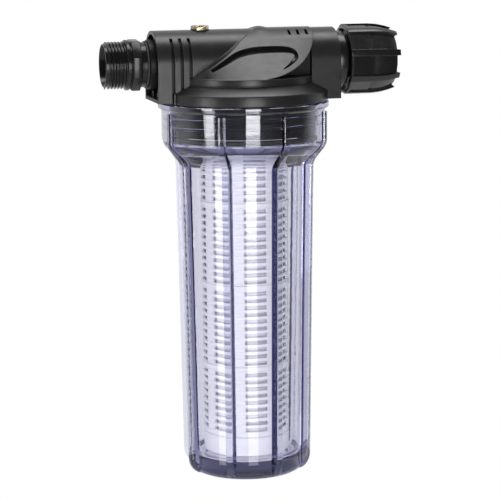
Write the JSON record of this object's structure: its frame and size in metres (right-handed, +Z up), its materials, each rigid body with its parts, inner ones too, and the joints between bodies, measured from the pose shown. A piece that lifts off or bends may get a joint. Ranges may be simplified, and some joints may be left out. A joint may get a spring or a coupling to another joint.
{
  "type": "inline water pre-filter",
  "caption": "Black moulded filter head with a threaded inlet, a union nut outlet and a brass bleed screw over a clear ribbed bowl that holds a slotted cartridge.",
  "frame": {"origin": "centre of the bowl's flat base", "axes": "+Z up along the bowl's axis, +X along the pipe from the inlet to the outlet, -Y towards the front"},
  "size_m": [0.213, 0.1226, 0.3241],
  "materials": {
    "head_black": "satin",
    "nut_black": "semi gloss",
    "clear_plastic": "clear, tinted blue violet",
    "white_plastic": "satin",
    "mesh_white": "woven",
    "seal_rubber": "matte",
    "brass": "polished",
    "steel": "brushed"
  },
  "bodies": {
    "head": {"head_housing": "head_black", "inlet_nipple": "head_black", "inlet_o_ring": "seal_rubber", "outlet_tailpiece": "head_black", "outlet_o_ring": "seal_rubber", "nut_retaining_ring": "steel", "union_gasket": "seal_rubber"},
    "cartridge": {"cartridge_cage": "white_plastic", "cartridge_mesh": "mesh_white", "cartridge_core": "white_plastic", "cartridge_top_cap": "white_plastic", "cartridge_bottom_cap": "white_plastic", "cartridge_top_gasket": "seal_rubber", "cartridge_bottom_gasket": "seal_rubber"},
    "bowl_seal": {"bowl_o_ring": "seal_rubber"},
    "bowl_shell": {"bowl": "clear_plastic"},
    "nut": {"union_nut": "nut_black"},
    "bleed_seal": {"vent_seal": "seal_rubber"},
    "bleed_screw": {"vent_screw": "brass"}
  },
  "joints": [
    {"name": "bowl_thread_travel", "type": "slide", "parent": "head", "child": "cartridge", "axis": [0, 0, -1], "range_m": [0, 0.018]},
    {"name": "bowl_removal", "type": "slide", "parent": "cartridge", "child": "bowl_seal", "axis": [0, 0, -1], "range_m": [0, 0.27]},
    {"name": "bowl_unscrew", "type": "hinge", "parent": "bowl_seal", "child": "bowl_shell", "pos_m": [0, 0, 0.25], "axis": [0, 0, -1], "range_deg": [0, 1080]},
    {"name": "union_nut_spin", "type": "hinge", "parent": "head", "child": "nut", "pos_m": [0.074, 0, 0.2975], "axis": [1, 0, 0], "continuous": true},
    {"name": "bleed_screw_travel", "type": "slide", "parent": "head", "child": "bleed_seal", "axis": [0, 0, 1], "range_m": [0, 0.00375]},
    {"name": "bleed_screw_turn", "type": "hinge", "parent": "bleed_seal", "child": "bleed_screw", "pos_m": [-0.0313, 0, 0.321], "axis": [0, 0, 1], "range_deg": [0, 1080]}
  ],
  "couplings": [
    {"joint": "bowl_thread_travel", "follows": "bowl_unscrew", "m_per_rad": 0.00095493},
    {"joint": "bleed_screw_travel", "follows": "bleed_screw_turn", "m_per_rad": 0.00019894}
  ]
}
